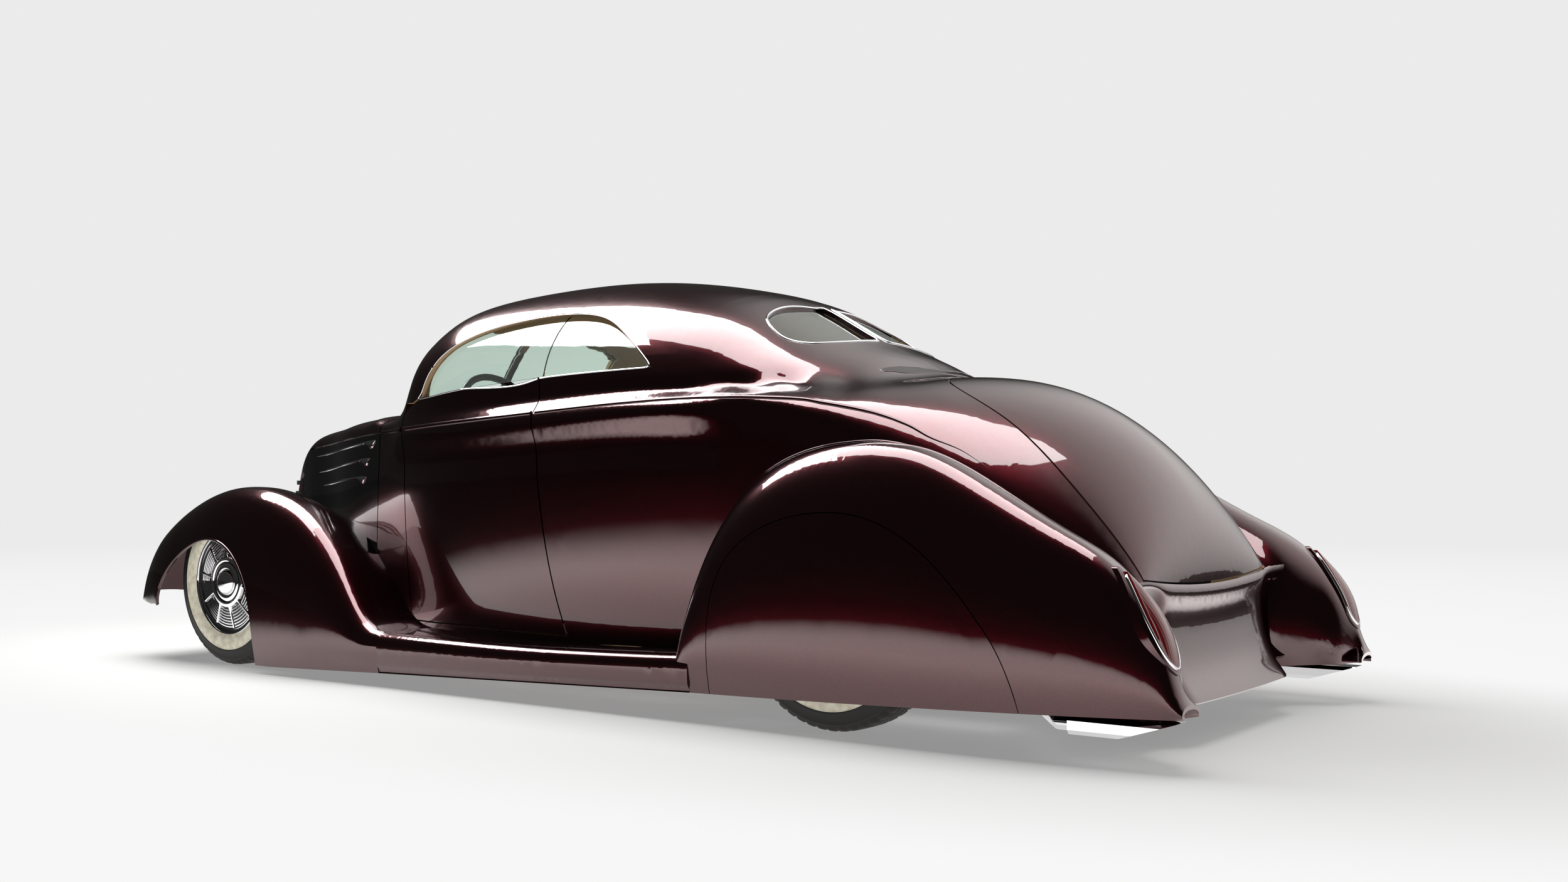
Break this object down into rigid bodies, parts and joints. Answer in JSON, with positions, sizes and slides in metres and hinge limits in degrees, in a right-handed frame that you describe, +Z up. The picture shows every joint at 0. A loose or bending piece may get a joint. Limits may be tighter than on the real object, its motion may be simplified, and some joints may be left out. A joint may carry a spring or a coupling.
{
  "type": "hot rod coupe",
  "caption": "Low two-door custom coupe with flowing separate fenders, rear wheel skirts, split rear window, white wall tyres and doors, hood and deck lid that open.",
  "frame": {"origin": "on the ground, centred under the car's length and width", "axes": "+X forward, +Y to the car's left, +Z up"},
  "size_m": [4.53, 1.7458, 1.4403],
  "materials": {
    "frame_black": "satin black",
    "paint": "deep metallic gloss",
    "glass": "pale green tint",
    "iron": "painted casting",
    "chrome": "polished",
    "floor_paint": "satin",
    "aluminium": "satin",
    "head_lens": "clear lens",
    "leather": "tan hide",
    "black_plastic": "gloss black",
    "tail_lens": "deep red lens",
    "tyre": "matt black with pale side bands",
    "wheel": "polished"
  },
  "bodies": {
    "car": {"chassis_frame": "frame_black", "cowl": "paint", "dashboard": "paint", "engine": "iron", "exhausts": "chrome", "floor_pan": "floor_paint", "front_axle": "frame_black", "front_fender_left": "paint", "front_fender_right": "paint", "fuel_tank": "aluminium", "grille_bars": "chrome", "head_lamps": "head_lens", "hood_side_left": "paint", "hood_side_right": "paint", "lamp_rims": "chrome", "nose": "paint", "quarter_glass": "glass", "quarter_left": "paint", "quarter_right": "paint", "radiator": "aluminium", "rear_axle": "frame_black", "rear_fender_left": "paint", "rear_fender_right": "paint", "rear_pan": "paint", "rear_skirts": "paint", "rear_windows": "glass", "roof": "paint", "running_boards": "paint", "seat": "leather", "steering_wheel": "black_plastic", "tail_lamps": "tail_lens", "windshield": "glass"},
    "door_left": {"door_left": "paint", "door_glass_left": "glass"},
    "knuckle_left": {"knuckle_left": "frame_black"},
    "door_right": {"door_right": "paint", "door_glass_right": "glass"},
    "knuckle_right": {"knuckle_right": "frame_black"},
    "wheel_front_left": {"tyre_front_left": "tyre", "wheel_front_left": "wheel"},
    "wheel_front_right": {"tyre_front_right": "tyre", "wheel_front_right": "wheel"},
    "wheel_rear_left": {"tyre_rear_left": "tyre", "wheel_rear_left": "wheel"},
    "wheel_rear_right": {"tyre_rear_right": "tyre", "wheel_rear_right": "wheel"},
    "deck_lid": {"deck_lid": "paint"},
    "hood_top": {"hood_top": "paint"}
  },
  "joints": [
    {"name": "door_left_hinge", "type": "hinge", "parent": "car", "child": "door_left", "pos_m": [0.771, 0.606, 0.6], "axis": [0, 0, -1], "range_deg": [0, 60]},
    {"name": "door_right_hinge", "type": "hinge", "parent": "car", "child": "door_right", "pos_m": [0.771, -0.606, 0.6], "axis": [0, 0, 1], "range_deg": [0, 60]},
    {"name": "deck_lid_hinge", "type": "hinge", "parent": "car", "child": "deck_lid", "pos_m": [-1.297, 0, 1.045], "axis": [0, 1, 0], "range_deg": [0, 50]},
    {"name": "hood_hinge", "type": "hinge", "parent": "car", "child": "hood_top", "pos_m": [1.017, 0, 1.006], "axis": [0, -1, 0], "range_deg": [0, 45]},
    {"name": "steering_left", "type": "hinge", "parent": "car", "child": "knuckle_left", "pos_m": [1.665, 0.58, 0.325], "axis": [0, 0, 1], "range_deg": [-8, 8]},
    {"name": "steering_right", "type": "hinge", "parent": "car", "child": "knuckle_right", "pos_m": [1.665, -0.58, 0.325], "axis": [0, 0, 1], "range_deg": [-8, 8]},
    {"name": "front_left_spin", "type": "hinge", "parent": "knuckle_left", "child": "wheel_front_left", "pos_m": [1.665, 0.67, 0.325], "axis": [0, 1, 0], "continuous": true},
    {"name": "front_right_spin", "type": "hinge", "parent": "knuckle_right", "child": "wheel_front_right", "pos_m": [1.665, -0.67, 0.325], "axis": [0, 1, 0], "continuous": true},
    {"name": "rear_left_spin", "type": "hinge", "parent": "car", "child": "wheel_rear_left", "pos_m": [-1.18, 0.67, 0.325], "axis": [0, 1, 0], "continuous": true},
    {"name": "rear_right_spin", "type": "hinge", "parent": "car", "child": "wheel_rear_right", "pos_m": [-1.18, -0.67, 0.325], "axis": [0, 1, 0], "continuous": true}
  ],
  "couplings": [
    {"joint": "steering_right", "follows": "steering_left", "ratio": 1}
  ]
}
